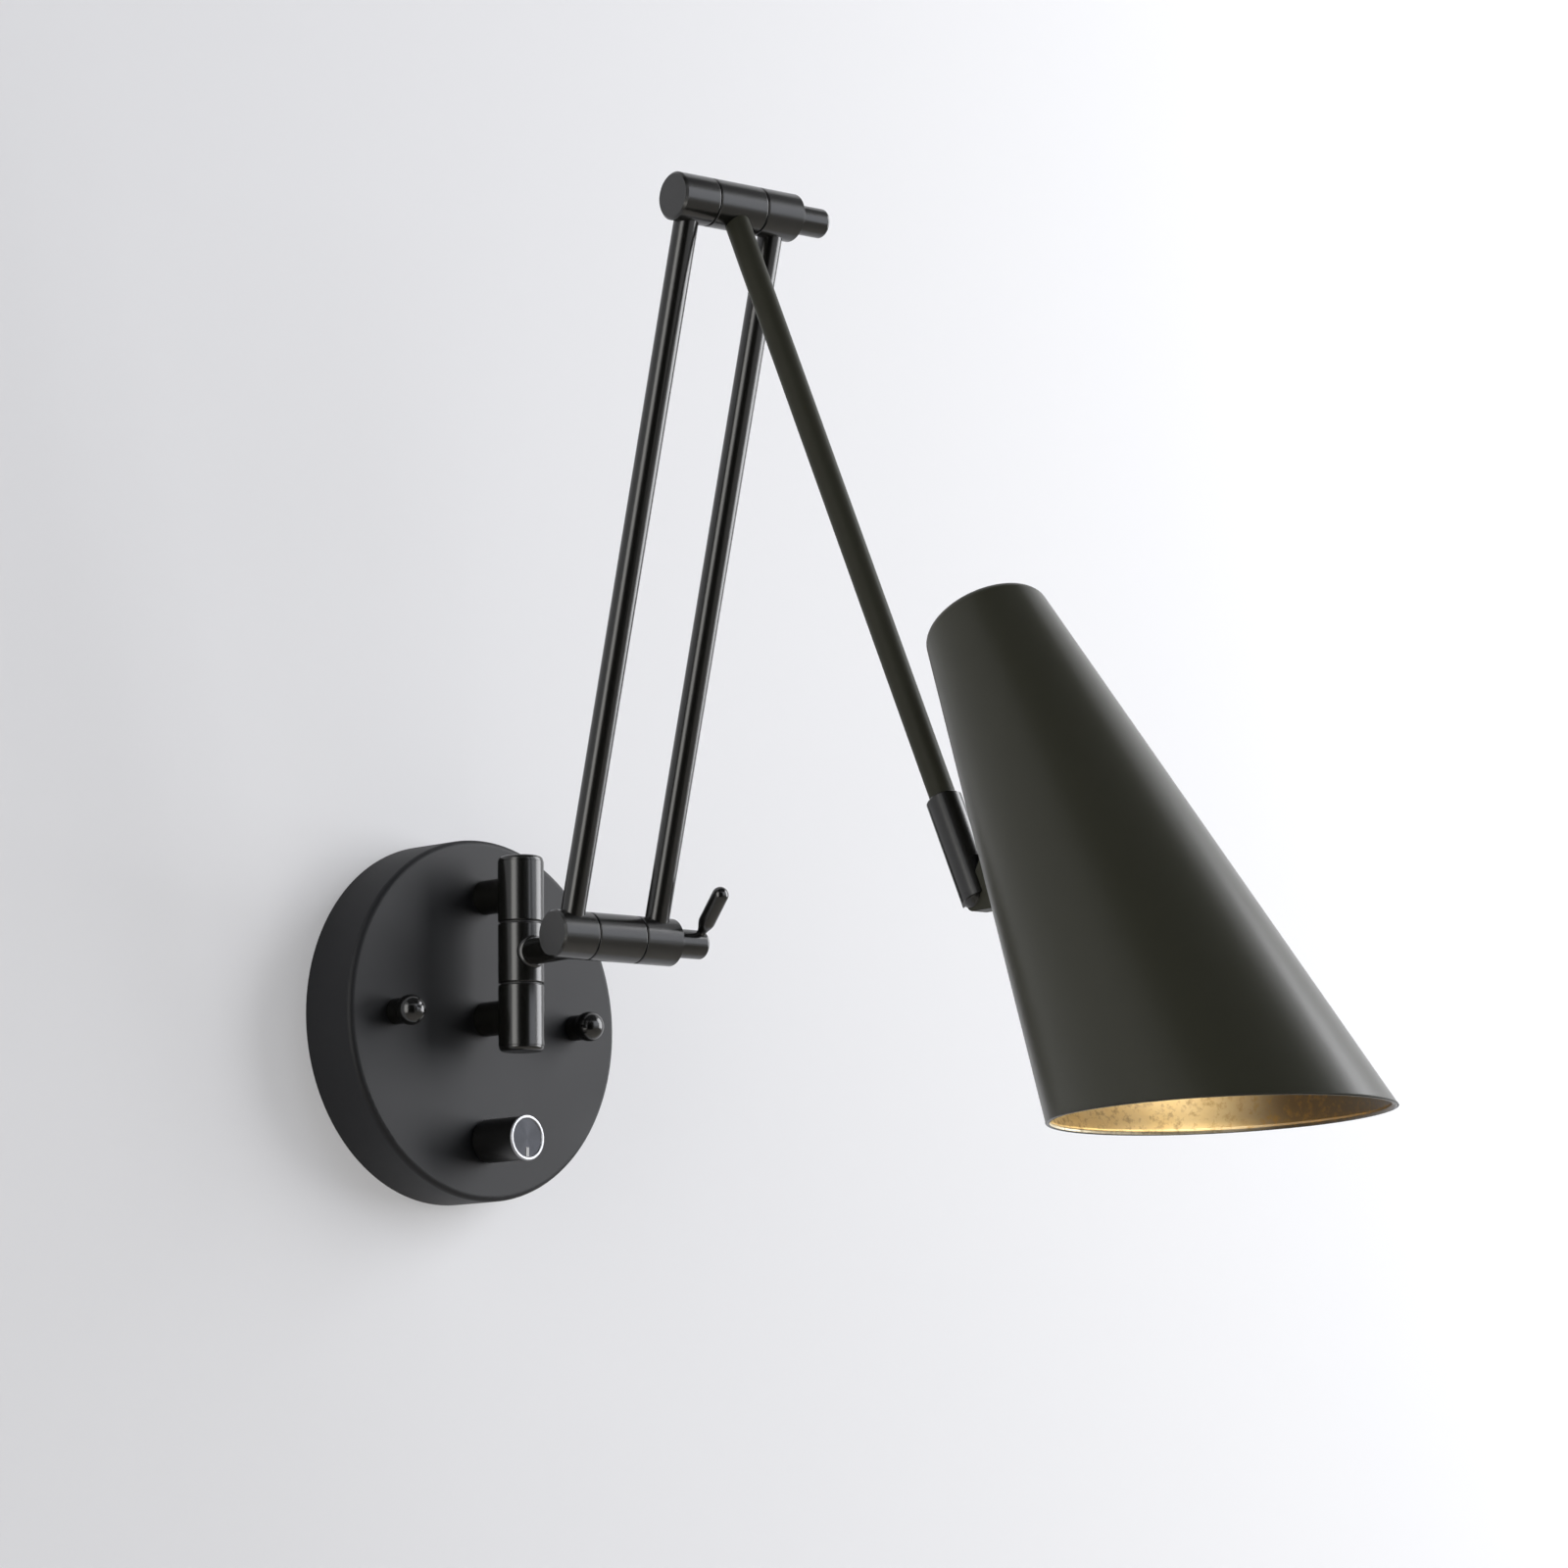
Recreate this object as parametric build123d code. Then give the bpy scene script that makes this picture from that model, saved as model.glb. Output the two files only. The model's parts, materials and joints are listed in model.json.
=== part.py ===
from build123d import *
import math
import os

# Adjustable wall lamp. Lengths are in millimetres and angles in degrees.
# The wall is the plane y = 0, the lamp stands out along -Y, +Z is up and +X is to the right
# of someone who faces the wall. The origin is the middle of the canopy's wall side.

# Canopy: a shallow round cup with its open side on the wall
canopyDiameter = 120.0
canopyDepth = 21.5
canopyWall = 1.5
canopyEdgeRadius = 2.0

# Crossbar that carries the canopy, and its two free holes for the wall box
crossbarEnd = 5.5
crossbarHeight = 22.0
crossbarThickness = 2.0
crossbarCornerRadius = 5.0
wallHoleSpacing = 60.0
wallHoleDiameter = 4.6

# Studs and ball-headed cap nuts
capNutSpacing = 81.0
capNutNeckDiameter = 8.6
capNutBallDiameter = 10.0
capNutBallHeight = 7.5
capNutBevel = 0.5
studDiameter = 4.0
studEntry = 6.5
studNutWidth = 7.0
studNutThickness = 3.2

# Standoff posts between the canopy and the hinge
postDiameter = 11.5
postThreadDiameter = 6.0
postStubEntry = 2.5
postThreadLength = 6.5
postNutWidth = 10.0
postNutThickness = 4.0
postWasherDiameter = 13.0
postWasherThickness = 1.0

# Vertical hinge of three equal barrel segments
hingeReach = 38.5
hingeHeight = 20.5
barrelDiameter = 15.2
barrelPitch = 20.3
barrelGap = 0.7
hingeWasherDiameter = 13.6
hingeCapDiameter = 14.8
hingeCapThickness = 1.9
hingeCapRounding = 1.5
seamRounding = 0.4
hingePinDiameter = 6.0

# Dimmer behind the canopy, and its knob
knobInset = 19.8
dimmerWidth = 22.0
dimmerHeight = 20.0
dimmerDepth = 11.0
dimmerCornerRadius = 2.0
bushingDiameter = 7.0
bushingProjection = 5.0
dimmerNutWidth = 10.0
dimmerNutThickness = 2.0
shaftDiameter = 4.0
shaftEntry = 7.0
knobDiameter = 14.4
knobProjection = 19.8
knobStandoff = 0.8
knobCavityDiameter = 12.4
knobCavityDepth = 5.4
knobRingDiameter = 15.0
knobRingBore = 12.4
knobRingLength = 1.8
knobFaceRecess = 0.3
knobRingBevel = 0.25
pointerLength = 3.0
pointerWidth = 1.2
pointerDepth = 0.7
pointerProud = 0.15

# Supply terminal and earth screw on the crossbar
terminalWidth = 24.0
terminalHeight = 15.0
terminalDepth = 10.0
terminalWayCount = 3
terminalWayDiameter = 3.6
terminalWayDepth = 6.0
earthScrewOffset = 20.5
earthScrewDiameter = 4.0
earthHeadDiameter = 7.4
earthHeadThickness = 2.2
earthSlotWidth = 1.0
earthSlotDepth = 0.9

# Spigot from the hinge to the lower elbow
spigotReach = 50.3
spigotDiameter = 8.8
spigotStubDiameter = 7.0
spigotStubEntry = 2.5

# Elbows: a middle hub between two outer hubs on one bolt
elbowDiameter = 15.5
middleHubWidth = 18.4
plainHubWidth = 13.6
clampHubWidth = 14.8
elbowGap = 0.4
elbowWasherDiameter = 14.2
hubBevel = 0.7
elbowBoltDiameter = 6.0
plainHubFloor = 3.2
noseDiameter = 9.5
noseLength = 12.3
noseEdgeRadius = 1.2
noseBoltEntry = 6.0

# Clamp lever on the lower elbow's nose
leverPlace = 9.5
leverLength = 20.1
leverNeckDiameter = 3.0
leverSwellLength = 4.0
leverEndDiameter = 5.5
leverStubEntry = 2.2
leverRise = 47.0

# Lower arm of two parallel rods
elbowSpacing = 236.8
rodDiameter = 8.0
rodWall = 1.0
rodSeat = 4.0

# Upper arm, the forked sleeve at its end and the riveted pin through the fork
armToPivot = 262.0
armDiameter = 8.0
armWall = 1.0
armSeat = 4.0
sleeveDiameter = 11.0
sleeveAbovePivot = 35.6
sleeveBevel = 0.6
sleeveSocket = 19.0
forkDepth = 12.5
pivotPinDiameter = 3.5

# Conical shade with a closed top and an obliquely cut mouth
shadeTopDiameter = 37.5
shadeHalfAngle = 8.35
shadeAxisLength = 178.7
shadeWall = 1.0
shadeEdgeRadius = 3.0
rimSlope = 29.4
pivotDrop = 68.4
pivotStand = 17.4

# Tab that joins the shade to the fork
tabThickness = 5.3
tabEndRadius = 3.4
footLength = 30.0
footWidth = 12.0
footThickness = 3.0
footEdgeRadius = 1.0
tabRootLength = 24.0
footScrewSpacing = 18.0
footScrewDiameter = 3.0
footScrewEntry = 2.2
footHeadDiameter = 6.0
footHeadThickness = 1.8

# Lampholder, its bracket and the bulb
bracketThickness = 1.2
bracketWidth = 10.0
bracketPlateDiameter = 30.0
bracketPlateDrop = 24.0
holderDiameter = 27.0
holderLength = 38.0
holderSocketDepth = 26.0
bulbCapDiameter = 14.0
bulbCapLength = 28.0
bulbNeckDiameter = 15.0
bulbDiameter = 45.0
bulbCentreDrop = 33.0
bulbThroatShare = 0.85

# Pose of the lamp at rest
swingTurn = -8.8
lowerLean = 16.7
upperLean = 26.2
shadeLean = 30.9

# Clearances
runningClearance = 0.05
seatClearance = 0.04
faceClearance = 0.05
screwClearance = 0.1
socketClearance = 0.3
slotClearance = 0.12
overrun = 5.0

# Radii and places that several pieces share
canopyRadius = canopyDiameter / 2
barrelRadius = barrelDiameter / 2
elbowRadius = elbowDiameter / 2
hingePinRadius = hingePinDiameter / 2
elbowBoltRadius = elbowBoltDiameter / 2
rodRadius = rodDiameter / 2
postHeights = (hingeHeight + barrelPitch, hingeHeight - barrelPitch)
studPlaces = (-capNutSpacing / 2, capNutSpacing / 2)
crossbarLength = capNutSpacing + 2 * crossbarEnd
knobDrop = canopyRadius - knobInset
hubInner = middleHubWidth / 2 + elbowGap
plainHubPlace = -(hubInner + plainHubWidth / 2)
clampHubPlace = hubInner + clampHubWidth / 2
noseStart = hubInner + clampHubWidth
shadeTopHalf = shadeTopDiameter / 2
shadeTangent = math.tan(math.radians(shadeHalfAngle))
pivotToAxis = shadeTopHalf + pivotDrop * shadeTangent + pivotStand

# Frames of the wall and of the moving bodies: in the moving ones local X is the elbows' axis
wallFrame = Pos(0, 0, 0)
hingeFrame = Pos(0, -hingeReach, hingeHeight)
swingFrame = hingeFrame * Rot(0, 0, swingTurn)
lowerElbowFrame = swingFrame * Pos(0, -spigotReach, 0) * Rot(lowerLean, 0, 0)
upperElbowFrame = lowerElbowFrame * Pos(0, 0, elbowSpacing) * Rot(-lowerLean - upperLean, 0, 0)
pivotFrame = upperElbowFrame * Pos(0, 0, -armToPivot)
shadeFrame = pivotFrame * Rot(upperLean - shadeLean, 0, 0)
shadeAxisFrame = shadeFrame * Pos(0, -pivotToAxis, pivotDrop)
shadeWallFrame = shadeFrame * Pos(0, -pivotStand, 0) * Rot(shadeHalfAngle, 0, 0)

pieces = {}


def barX(radius, start, end):
    """A round bar along X from start to end."""
    return Pos((start + end) / 2, 0, 0) * Rot(0, 90, 0) * Cylinder(radius, abs(end - start))


def barY(radius, start, end):
    """A round bar along Y from start to end."""
    return Pos(0, (start + end) / 2, 0) * Rot(90, 0, 0) * Cylinder(radius, abs(end - start))


def barZ(radius, start, end):
    """A round bar along Z from start to end."""
    return Pos(0, 0, (start + end) / 2) * Cylinder(radius, abs(end - start))


def hexBarY(width, start, end):
    """A hexagonal bar along Y, given its width across flats."""
    return plateY(RegularPolygon(width / 2, 6, major_radius=False), start, end)


def plateY(outline, start, end):
    """An outline in X and Z made into a plate from start to end along Y."""
    plate = extrude(outline, amount=abs(end - start) / 2, both=True)
    return Pos(0, (start + end) / 2, 0) * Rot(90, 0, 0) * plate


def blockY(width, height, start, end):
    """A rectangular block, centred on X and Z, from start to end along Y."""
    return Pos(0, (start + end) / 2, 0) * Box(width, abs(end - start), height)


def endEdges(shape, axis, last=True):
    """The edges of the flat face at one end of a shape."""
    faces = shape.faces().sort_by(axis)
    return faces[-1].edges() if last else faces[0].edges()


def addPiece(name, frame, shape):
    """Place a piece in the lamp's frame under its own name."""
    pieces[name] = frame * shape


def addGroup(name, frame, shapes):
    """Place identical separate solids under one name."""
    pieces[name] = Compound(children=[frame * shape for shape in shapes])


def buildCanopy():
    face = -canopyDepth
    cup = barY(canopyRadius, 0, face)
    cup = fillet(endEdges(cup, Axis.Y, last=False), canopyEdgeRadius)
    cup -= barY(canopyRadius - canopyWall, overrun, face + canopyWall)
    for x in studPlaces:
        cup -= Pos(x, 0, 0) * barY(studDiameter / 2 + screwClearance, 0, face - overrun)
    for z in postHeights:
        cup -= Pos(0, 0, z) * barY(postThreadDiameter / 2 + screwClearance, 0, face - overrun)
    cup -= Pos(0, 0, -knobDrop) * barY(bushingDiameter / 2 + screwClearance, 0, face - overrun)
    addPiece("canopy", wallFrame, cup)


def buildCrossbar():
    outline = RectangleRounded(crossbarLength, crossbarHeight, crossbarCornerRadius)
    bar = plateY(outline, 0, -crossbarThickness)
    for x in studPlaces:
        bar -= Pos(x, 0, 0) * barY(studDiameter / 2 + seatClearance, overrun, -canopyDepth)
    for x in (-wallHoleSpacing / 2, wallHoleSpacing / 2):
        bar -= Pos(x, 0, 0) * barY(wallHoleDiameter / 2, overrun, -canopyDepth)
    earthHole = barY(earthScrewDiameter / 2 + seatClearance, overrun, -canopyDepth)
    bar -= Pos(earthScrewOffset, 0, 0) * earthHole
    addPiece("wall_crossbar", wallFrame, bar)


def buildStuds():
    nutFace = -crossbarThickness
    stud = barY(studDiameter / 2, 0, -canopyDepth - studEntry)
    stud = chamfer(endEdges(stud, Axis.Y, last=False), capNutBevel)
    nut = hexBarY(studNutWidth, nutFace, nutFace - studNutThickness)
    nut -= barY(studDiameter / 2 + seatClearance, 0, -canopyDepth)
    addGroup("canopy_studs", wallFrame, [Pos(x, 0, 0) * stud for x in studPlaces])
    addGroup("stud_nuts", wallFrame, [Pos(x, 0, 0) * nut for x in studPlaces])


def buildCapNuts():
    face = -canopyDepth
    ballCentre = face - capNutBallHeight
    neck = barY(capNutNeckDiameter / 2, face, ballCentre)
    neck = chamfer(endEdges(neck, Axis.Y), capNutBevel)
    nut = neck + Pos(0, ballCentre, 0) * Sphere(capNutBallDiameter / 2)
    nut -= barY(studDiameter / 2 + seatClearance, face + overrun, face - studEntry)
    addGroup("cap_nuts", wallFrame, [Pos(x, 0, 0) * nut for x in studPlaces])


def buildPosts():
    face = -canopyDepth
    inside = face + canopyWall
    washerFace = inside + postWasherThickness
    stubEnd = -hingeReach + barrelRadius - postStubEntry
    post = barY(postDiameter / 2, face, -hingeReach)
    post -= Pos(0, -hingeReach, 0) * Cylinder(barrelRadius + seatClearance, 2 * postDiameter)
    post += barY(postThreadDiameter / 2, inside + postThreadLength, stubEnd)
    washer = barY(postWasherDiameter / 2, inside, washerFace)
    washer -= barY(postThreadDiameter / 2 + seatClearance, 0, face)
    nut = hexBarY(postNutWidth, washerFace, washerFace + postNutThickness)
    nut -= barY(postThreadDiameter / 2 + seatClearance, 0, face)
    addGroup("hinge_posts", wallFrame, [Pos(0, 0, z) * post for z in postHeights])
    addGroup("post_washers", wallFrame, [Pos(0, 0, z) * washer for z in postHeights])
    addGroup("post_nuts", wallFrame, [Pos(0, 0, z) * nut for z in postHeights])


def buildHinge():
    seam = barrelPitch / 2
    barrelEnd = barrelPitch + seam
    half = barZ(barrelRadius, seam + barrelGap / 2, barrelEnd)
    half = fillet(endEdges(half, Axis.Z, last=False), seamRounding)
    half -= barZ(hingePinRadius + seatClearance, 0, barrelEnd + overrun)
    stubHole = barY(postThreadDiameter / 2 + seatClearance, 0, barrelDiameter)
    stubHole -= barY(postDiameter, 0, barrelRadius - postStubEntry - seatClearance)
    half -= Pos(0, 0, barrelPitch) * stubHole
    cap = barZ(hingeCapDiameter / 2, barrelEnd, barrelEnd + hingeCapThickness)
    cap = fillet(endEdges(cap, Axis.Z), hingeCapRounding)
    washerHalf = barrelGap / 2 - faceClearance
    washer = barZ(hingeWasherDiameter / 2, seam - washerHalf, seam + washerHalf)
    washer -= barZ(hingePinRadius + seatClearance, 0, barrelEnd)
    middle = barZ(barrelRadius, -seam + barrelGap / 2, seam - barrelGap / 2)
    middle = fillet(middle.edges().filter_by(GeomType.CIRCLE), seamRounding)
    middle -= barZ(hingePinRadius + runningClearance, -barrelEnd, barrelEnd)
    seatFloor = -barrelRadius + spigotStubEntry
    middle -= barY(spigotStubDiameter / 2 + seatClearance, seatFloor, -barrelDiameter)
    flip = Rot(0, 180, 0)
    addPiece("upper_knuckle", hingeFrame, half)
    addPiece("lower_knuckle", hingeFrame, flip * half)
    addGroup("hinge_caps", hingeFrame, [cap, flip * cap])
    addGroup("hinge_washers", hingeFrame, [washer, flip * washer])
    addPiece("hinge_pin", hingeFrame, barZ(hingePinRadius, -barrelEnd, barrelEnd))
    addPiece("middle_knuckle", swingFrame, middle)


def buildDimmer():
    dimmerFrame = Pos(0, 0, -knobDrop)
    face = -canopyDepth
    inside = face + canopyWall
    outline = RectangleRounded(dimmerWidth, dimmerHeight, dimmerCornerRadius)
    body = plateY(outline, inside, inside + dimmerDepth)
    body += barY(bushingDiameter / 2, inside, face - bushingProjection)
    shaftStart = inside + dimmerDepth / 2
    body -= barY(shaftDiameter / 2 + runningClearance, shaftStart + faceClearance, face - canopyDepth)
    nut = hexBarY(dimmerNutWidth, face, face - dimmerNutThickness)
    nut -= barY(bushingDiameter / 2 + seatClearance, 0, face - canopyDepth)
    cavityEnd = face - knobStandoff - knobCavityDepth
    front = face - knobProjection
    bodyFront = front + knobRingLength
    faceDisc = front + knobFaceRecess
    knob = barY(knobDiameter / 2, face - knobStandoff, bodyFront)
    knob += barY(knobRingBore / 2 - seatClearance, bodyFront, faceDisc)
    knob -= barY(knobCavityDiameter / 2, 0, cavityEnd)
    knob -= barY(shaftDiameter / 2 + seatClearance, 0, cavityEnd - shaftEntry)
    pointerTop = -knobRingBore / 2 + pointerLength
    pointerZ = (pointerTop - knobRingBore / 2) / 2
    slotFloor = faceDisc + pointerDepth
    slot = Pos(0, 0, pointerZ) * blockY(pointerWidth, pointerLength, slotFloor, front - overrun)
    knob -= slot
    ring = barY(knobRingDiameter / 2, bodyFront, front)
    ring = chamfer(endEdges(ring, Axis.Y, last=False), knobRingBevel)
    ring -= barY(knobRingBore / 2, 0, front - overrun)
    pointer = blockY(pointerWidth, pointerLength, slotFloor, faceDisc - pointerProud)
    pointer = Pos(0, 0, pointerZ) * pointer
    pointer &= barY(knobRingBore / 2 - seatClearance, 0, front - overrun)
    shaft = barY(shaftDiameter / 2, shaftStart, cavityEnd - shaftEntry)
    addPiece("dimmer_body", dimmerFrame, body)
    addPiece("dimmer_nut", dimmerFrame, nut)
    addPiece("dimmer_shaft", dimmerFrame, shaft)
    addPiece("knob_body", dimmerFrame, knob)
    addPiece("knob_ring", dimmerFrame, ring)
    addPiece("knob_pointer", dimmerFrame, pointer)


def buildTerminals():
    barFace = -crossbarThickness
    blockFace = barFace - terminalDepth
    block = blockY(terminalWidth, terminalHeight, barFace, blockFace)
    wayPitch = terminalWidth / terminalWayCount
    for index in range(terminalWayCount):
        x = (index - (terminalWayCount - 1) / 2) * wayPitch
        way = barY(terminalWayDiameter / 2, blockFace + terminalWayDepth, blockFace - overrun)
        block -= Pos(x, 0, 0) * way
    screw = barY(earthScrewDiameter / 2, 0, barFace)
    screw += barY(earthHeadDiameter / 2, barFace, barFace - earthHeadThickness)
    slotFloor = barFace - earthHeadThickness + earthSlotDepth
    screw -= blockY(earthSlotWidth, 2 * earthHeadDiameter, slotFloor, slotFloor - overrun)
    addPiece("terminal_block", wallFrame, block)
    addPiece("earth_screw", Pos(earthScrewOffset, 0, 0), screw)


def buildSpigot():
    barrelEnd = -barrelRadius - seatClearance
    hubEnd = -spigotReach + elbowRadius + seatClearance
    spigot = barY(spigotDiameter / 2, 0, -spigotReach)
    spigot -= Cylinder(-barrelEnd, 2 * spigotDiameter)
    spigot -= Pos(0, -spigotReach, 0) * barX(spigotReach + hubEnd, -spigotDiameter, spigotDiameter)
    stub = barY(spigotStubDiameter / 2, barrelEnd + spigotStubEntry, hubEnd - spigotStubEntry)
    addPiece("spigot", swingFrame, spigot + stub)


def middleHub(seatFrame, seatDiameter, seatDepth):
    """The middle hub of an elbow, with one blind seat that faces -Z of its own frame."""
    half = middleHubWidth / 2
    hub = barX(elbowRadius, -half, half)
    hub = fillet(hub.edges().filter_by(GeomType.CIRCLE), seamRounding)
    hub -= barX(elbowBoltRadius + runningClearance, -half - overrun, half + overrun)
    hub -= seatFrame * barZ(seatDiameter / 2 + seatClearance, -elbowRadius + seatDepth, -elbowDiameter)
    return hub


def outerHubs():
    """The two outer hubs of an elbow, with blind seats for the rods that face +Z."""
    seatFloor = elbowRadius - rodSeat
    plainEnd = -hubInner - plainHubWidth
    plain = barX(elbowRadius, plainEnd, -hubInner)
    plain = chamfer(endEdges(plain, Axis.X, last=False), hubBevel)
    plain = fillet(endEdges(plain, Axis.X), seamRounding)
    plain -= barX(elbowBoltRadius + seatClearance, plainEnd + plainHubFloor, 0)
    plain -= Pos(plainHubPlace, 0, 0) * barZ(rodRadius + seatClearance, seatFloor, elbowDiameter)
    clamp = barX(elbowRadius, hubInner, noseStart)
    clamp = chamfer(endEdges(clamp, Axis.X), hubBevel)
    clamp = fillet(endEdges(clamp, Axis.X, last=False), seamRounding)
    clamp -= barX(elbowBoltRadius + seatClearance, 0, noseStart + overrun)
    clamp -= Pos(clampHubPlace, 0, 0) * barZ(rodRadius + seatClearance, seatFloor, elbowDiameter)
    return plain, clamp


def elbowBolt():
    """The bolt that is screwed into the plain hub and carries the nose."""
    boltStart = plainHubPlace - plainHubWidth / 2 + plainHubFloor
    return barX(elbowBoltRadius, boltStart, noseStart + noseBoltEntry)


def elbowWashers():
    """The two thin friction washers between the hubs."""
    inner = middleHubWidth / 2 + faceClearance
    outer = hubInner - faceClearance
    washer = barX(elbowWasherDiameter / 2, inner, outer)
    washer -= barX(elbowBoltRadius + runningClearance, 0, noseStart)
    return [washer, Rot(0, 0, 180) * washer]


def noseNut(start):
    """The round blind nut on the end of an elbow's bolt."""
    nut = barX(noseDiameter / 2, start, noseStart + noseLength)
    nut = fillet(endEdges(nut, Axis.X), noseEdgeRadius)
    nut -= barX(elbowBoltRadius + runningClearance, 0, noseStart + noseBoltEntry)
    return nut


def buildLowerElbow():
    swingHub = middleHub(Rot(90, 0, 0), spigotStubDiameter, spigotStubEntry)
    plain, clamp = outerHubs()
    addPiece("lower_middle_hub", swingFrame * Pos(0, -spigotReach, 0), swingHub)
    addPiece("lower_plain_hub", lowerElbowFrame, plain)
    addPiece("lower_clamp_hub", lowerElbowFrame, clamp)
    addPiece("lower_elbow_bolt", lowerElbowFrame, elbowBolt())
    addGroup("lower_elbow_washers", lowerElbowFrame, elbowWashers())
    nut = noseNut(noseStart + faceClearance)
    leverFrame = Pos(noseStart + leverPlace, 0, 0) * Rot(90 - leverRise - lowerLean, 0, 0)
    stubRadius = noseDiameter / 2 - leverStubEntry
    nut -= leverFrame * barZ(leverNeckDiameter / 2 + seatClearance, stubRadius, noseDiameter)
    addPiece("clamp_nut", lowerElbowFrame, nut)
    swellStart = noseDiameter / 2
    swell = Cone(leverNeckDiameter / 2, leverEndDiameter / 2, leverSwellLength)
    lever = barZ(leverNeckDiameter / 2, stubRadius, swellStart)
    lever += Pos(0, 0, swellStart + leverSwellLength / 2) * swell
    lever += barZ(leverEndDiameter / 2, swellStart + leverSwellLength, leverLength)
    lever += Pos(0, 0, leverLength) * Sphere(leverEndDiameter / 2)
    addPiece("clamp_lever", lowerElbowFrame * leverFrame, lever)


def buildRods():
    tube = barZ(rodRadius, elbowRadius - rodSeat, elbowSpacing - elbowRadius + rodSeat)
    tube -= barZ(rodRadius - rodWall, 0, elbowSpacing)
    addPiece("left_rod", lowerElbowFrame, Pos(plainHubPlace, 0, 0) * tube)
    addPiece("right_rod", lowerElbowFrame, Pos(clampHubPlace, 0, 0) * tube)


def buildUpperElbow():
    topFrame = lowerElbowFrame * Pos(0, 0, elbowSpacing)
    turnOver = Rot(180, 0, 0)
    plain, clamp = outerHubs()
    addPiece("upper_plain_hub", topFrame, turnOver * plain)
    addPiece("upper_clamp_hub", topFrame, turnOver * clamp)
    addPiece("upper_elbow_bolt", topFrame, elbowBolt())
    addGroup("upper_elbow_washers", topFrame, elbowWashers())
    addPiece("upper_nose_nut", topFrame, noseNut(noseStart))
    addPiece("upper_middle_hub", upperElbowFrame, middleHub(Pos(0, 0, 0), armDiameter, armSeat))


def buildUpperArm():
    socketFloor = sleeveAbovePivot - sleeveSocket
    tube = barZ(armDiameter / 2, socketFloor, armToPivot - elbowRadius + armSeat)
    tube -= barZ(armDiameter / 2 - armWall, 0, armToPivot)
    addPiece("upper_arm", pivotFrame, tube)
    sleeveRadius = sleeveDiameter / 2
    sleeve = barZ(sleeveRadius, 0, sleeveAbovePivot)
    sleeve = chamfer(endEdges(sleeve, Axis.Z), sleeveBevel)
    sleeve += Sphere(sleeveRadius, -90, 0)
    pin = barX(pivotPinDiameter / 2, -sleeveDiameter, sleeveDiameter) & sleeve
    sleeve -= barZ(armDiameter / 2 + seatClearance, socketFloor, sleeveAbovePivot + overrun)
    slotWidth = tabThickness + 2 * slotClearance
    slotHeight = forkDepth + sleeveDiameter
    sleeve -= Pos(0, 0, forkDepth - slotHeight / 2) * Box(slotWidth, 2 * sleeveDiameter, slotHeight)
    sleeve -= barX(pivotPinDiameter / 2 + seatClearance, -sleeveDiameter, sleeveDiameter)
    addPiece("arm_sleeve", pivotFrame, sleeve)
    addPiece("shade_pivot_pin", pivotFrame, pin)


def shadeCone(inset):
    """The solid cone of the shade with its top at z = 0, set in from its outside by inset."""
    slantInset = inset / math.cos(math.radians(shadeHalfAngle))
    length = shadeAxisLength + shadeTopDiameter
    topRadius = shadeTopHalf - slantInset + inset * shadeTangent
    bottomRadius = shadeTopHalf - slantInset + length * shadeTangent
    cone = Cone(bottomRadius, topRadius, length - inset)
    cone = Pos(0, 0, -(length + inset) / 2) * cone
    return fillet(endEdges(cone, Axis.Z), shadeEdgeRadius - min(inset, shadeEdgeRadius / 2))


def footScrewPlaces():
    """The places of the foot's screws along the shade's wall."""
    return (-footScrewSpacing / 2, footScrewSpacing / 2)


def buildShade():
    shell = shadeCone(0) - shadeCone(shadeWall)
    cutSize = 4 * shadeAxisLength
    rimFrame = Pos(0, 0, -shadeAxisLength) * Rot(rimSlope, 0, 0)
    shell -= rimFrame * Pos(0, 0, -cutSize / 2) * Box(cutSize, cutSize, cutSize)
    shell = shadeAxisFrame * shell
    for z in footScrewPlaces():
        hole = barY(footScrewDiameter / 2 + screwClearance, -overrun, overrun)
        shell -= shadeWallFrame * Pos(0, 0, z) * hole
    pieces["shade_shell"] = shell


def buildTab():
    outerCone = shadeAxisFrame * shadeCone(-seatClearance)
    footBlock = Pos(0, footThickness / 2, 0) * Box(footWidth, 3 * footThickness, footLength)
    footBlock = fillet(footBlock.edges().filter_by(Axis.Y), footEdgeRadius)
    footBlock &= Pos(0, footThickness - footLength / 2, 0) * Box(footLength, footLength, 2 * footLength)
    pivotOnWall = Vector(0, pivotStand * math.cos(math.radians(shadeHalfAngle)), 0)
    pivotDropOnWall = -pivotStand * math.sin(math.radians(shadeHalfAngle))
    web = Pos(pivotOnWall.Y, pivotDropOnWall) * Circle(tabEndRadius)
    root = Pos(footThickness / 2, 0) * Rectangle(footThickness, tabRootLength)
    profile = make_hull([*web.edges(), *root.edges()])
    plate = extrude(Plane.YZ * profile, amount=tabThickness / 2, both=True)
    tab = shadeWallFrame * (footBlock + plate) - outerCone
    tab -= shadeFrame * barX(pivotPinDiameter / 2 + runningClearance, -footWidth, footWidth)
    screwEnd = footScrewEntry
    for z in footScrewPlaces():
        hole = barY(footScrewDiameter / 2 + seatClearance, -overrun, screwEnd + seatClearance)
        tab -= shadeWallFrame * Pos(0, 0, z) * hole
    pieces["shade_tab"] = tab
    headSeat = -shadeWall - bracketThickness
    screw = barY(footScrewDiameter / 2, headSeat, screwEnd)
    head = barY(footHeadDiameter / 2, headSeat, headSeat - footHeadThickness)
    head = fillet(endEdges(head, Axis.Y, last=False), footHeadThickness / 2)
    addGroup("tab_screws", shadeWallFrame, [Pos(0, 0, z) * (screw + head) for z in footScrewPlaces()])


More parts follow.
